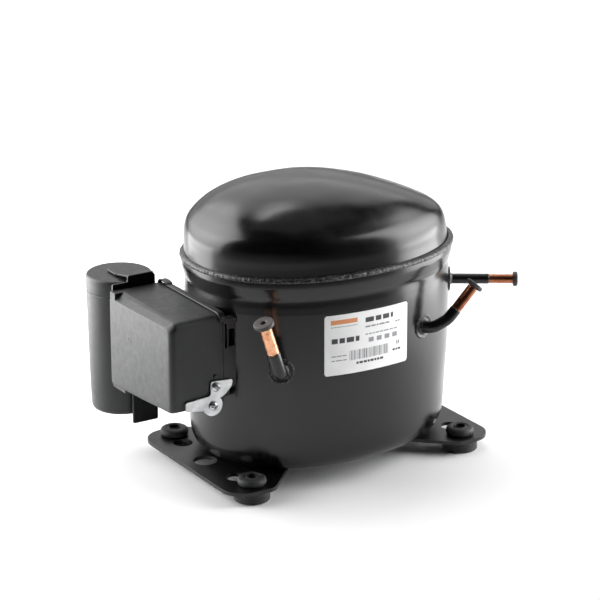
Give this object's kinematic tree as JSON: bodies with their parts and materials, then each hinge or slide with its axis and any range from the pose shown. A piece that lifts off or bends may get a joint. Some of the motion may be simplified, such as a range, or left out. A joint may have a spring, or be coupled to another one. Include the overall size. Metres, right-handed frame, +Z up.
{
  "type": "hermetic reciprocating compressor",
  "caption": "Black welded-shell refrigeration compressor with side terminal box, capacitor, capped copper tubes, rubber feet, and a sprung motor and piston pump inside.",
  "frame": {"origin": "middle of the whole footprint, at the underside of the rubber feet", "axes": "+X along the shell's long side away from the terminal box, +Y towards the capacitor side, +Z up"},
  "size_m": [0.2582, 0.1778, 0.1954],
  "materials": {
    "shell_paint": "semi-gloss black paint over pressed steel",
    "foot_rubber": "dark grey moulded rubber",
    "copper": "drawn copper, painted black near the shell",
    "cap_rubber": "dark brown-grey rubber",
    "box_plastic": "satin black moulded plastic with a fine grain",
    "relay_plastic": "black phenolic",
    "steel": "plain turned and pressed steel",
    "zinc": "bright zinc plate",
    "label_film": "white printed film",
    "cast_iron": "machined grey iron",
    "lamination": "stacked electrical steel sheets",
    "enamel_wire": "enamelled winding wire",
    "aluminium": "die-cast aluminium",
    "muffler_plastic": "natural nylon"
  },
  "bodies": {
    "shell": {"lower_shell": "shell_paint", "upper_shell": "shell_paint", "weld_bead": "shell_paint", "base_plate_left": "shell_paint", "base_plate_right": "shell_paint", "grommet_front_left": "foot_rubber", "grommet_front_right": "foot_rubber", "grommet_back_left": "foot_rubber", "grommet_back_right": "foot_rubber", "suction_tube": "copper", "discharge_tube": "copper", "process_tube": "copper", "terminal_header": "steel", "terminal_pin_common": "steel", "terminal_pin_start": "steel", "terminal_pin_run": "steel", "terminal_fence": "box_plastic", "start_relay": "relay_plastic", "overload_protector": "relay_plastic", "capacitor_holder": "box_plastic", "capacitor_bracket": "box_plastic", "capacitor_clip": "box_plastic", "run_capacitor": "steel", "cord_clamp": "zinc", "clamp_screw_lower": "zinc", "clamp_screw_upper": "zinc", "rating_label": "label_film", "spring_seat_front_left": "steel", "spring_seat_front_right": "steel", "spring_seat_back_left": "steel", "spring_seat_back_right": "steel"},
    "pump_frame": {"cylinder_block": "cast_iron", "stator_core": "lamination", "winding_lower": "enamel_wire", "winding_upper": "enamel_wire", "stator_bolt_front_left": "steel", "stator_bolt_front_right": "steel", "stator_bolt_back_left": "steel", "stator_bolt_back_right": "steel", "cylinder_head": "aluminium", "valve_plate": "steel", "suction_muffler": "muffler_plastic", "discharge_muffler": "steel", "discharge_loop": "copper", "spring_front_left": "steel", "spring_front_right": "steel", "spring_back_left": "steel", "spring_back_right": "steel"},
    "crankshaft": {"crankshaft": "cast_iron", "rotor": "aluminium"},
    "slide_block": {"slide_block": "cast_iron"},
    "gallery_plug": {"oil_gallery_plug": "steel"},
    "piston": {"piston": "cast_iron"},
    "suction_reed": {"suction_reed": "steel"},
    "discharge_reed": {"discharge_reed": "steel"},
    "terminal_cover": {"terminal_cover": "box_plastic"},
    "suction_plug": {"suction_plug": "cap_rubber"},
    "discharge_plug": {"discharge_plug": "cap_rubber"},
    "process_plug": {"process_plug": "cap_rubber"}
  },
  "joints": [
    {"name": "pump_bounce", "type": "slide", "parent": "shell", "child": "pump_frame", "axis": [0, 0, 1], "range_m": [-0.002, 0.002], "stiffness_N_per_m": 30000, "springref_m": 0.00134, "deforming": ["spring_front_left", "spring_front_right", "spring_back_left", "spring_back_right", "discharge_loop"]},
    {"name": "crank_spin", "type": "hinge", "parent": "pump_frame", "child": "crankshaft", "pos_m": [0.0032, -0.00675, 0.08], "axis": [0, 0, 1], "continuous": true},
    {"name": "slide_block_turn", "type": "hinge", "parent": "crankshaft", "child": "slide_block", "pos_m": [-0.0056, -0.00675, 0.146], "axis": [0, 0, 1], "continuous": true},
    {"name": "gallery_plug_turn", "type": "hinge", "parent": "crankshaft", "child": "gallery_plug", "pos_m": [-0.0012, -0.00675, 0.152], "axis": [0, 0, 1], "continuous": true},
    {"name": "piston_stroke", "type": "hinge", "parent": "gallery_plug", "child": "piston", "pos_m": [-0.0056, -0.00675, 0.146], "axis": [0, 0, 1], "continuous": true},
    {"name": "suction_reed_lift", "type": "hinge", "parent": "pump_frame", "child": "suction_reed", "pos_m": [0.0576, -0.00675, 0.1386], "axis": [0, -1, 0], "range_deg": [0, 5], "stiffness_Nm_per_rad": 0.05},
    {"name": "discharge_reed_lift", "type": "hinge", "parent": "pump_frame", "child": "discharge_reed", "pos_m": [0.06175, -0.00675, 0.1454], "axis": [0, -1, 0], "range_deg": [0, 8], "stiffness_Nm_per_rad": 0.05},
    {"name": "cover_slide", "type": "slide", "parent": "shell", "child": "terminal_cover", "axis": [-1, 0, 0], "range_m": [0, 0.06]},
    {"name": "suction_plug_pull", "type": "slide", "parent": "shell", "child": "suction_plug", "axis": [0.8585, -0.5128, -0.0116], "range_m": [0, 0.02]},
    {"name": "discharge_plug_pull", "type": "slide", "parent": "shell", "child": "discharge_plug", "axis": [0.6558, -0.1068, 0.7473], "range_m": [0, 0.02]},
    {"name": "process_plug_pull", "type": "slide", "parent": "shell", "child": "process_plug", "axis": [-0.3487, -0.0833, 0.9335], "range_m": [0, 0.02]}
  ],
  "couplings": [
    {"joint": "slide_block_turn", "follows": "crank_spin", "ratio": -1},
    {"joint": "gallery_plug_turn", "follows": "crank_spin", "ratio": -2},
    {"joint": "piston_stroke", "follows": "crank_spin", "ratio": 1}
  ]
}
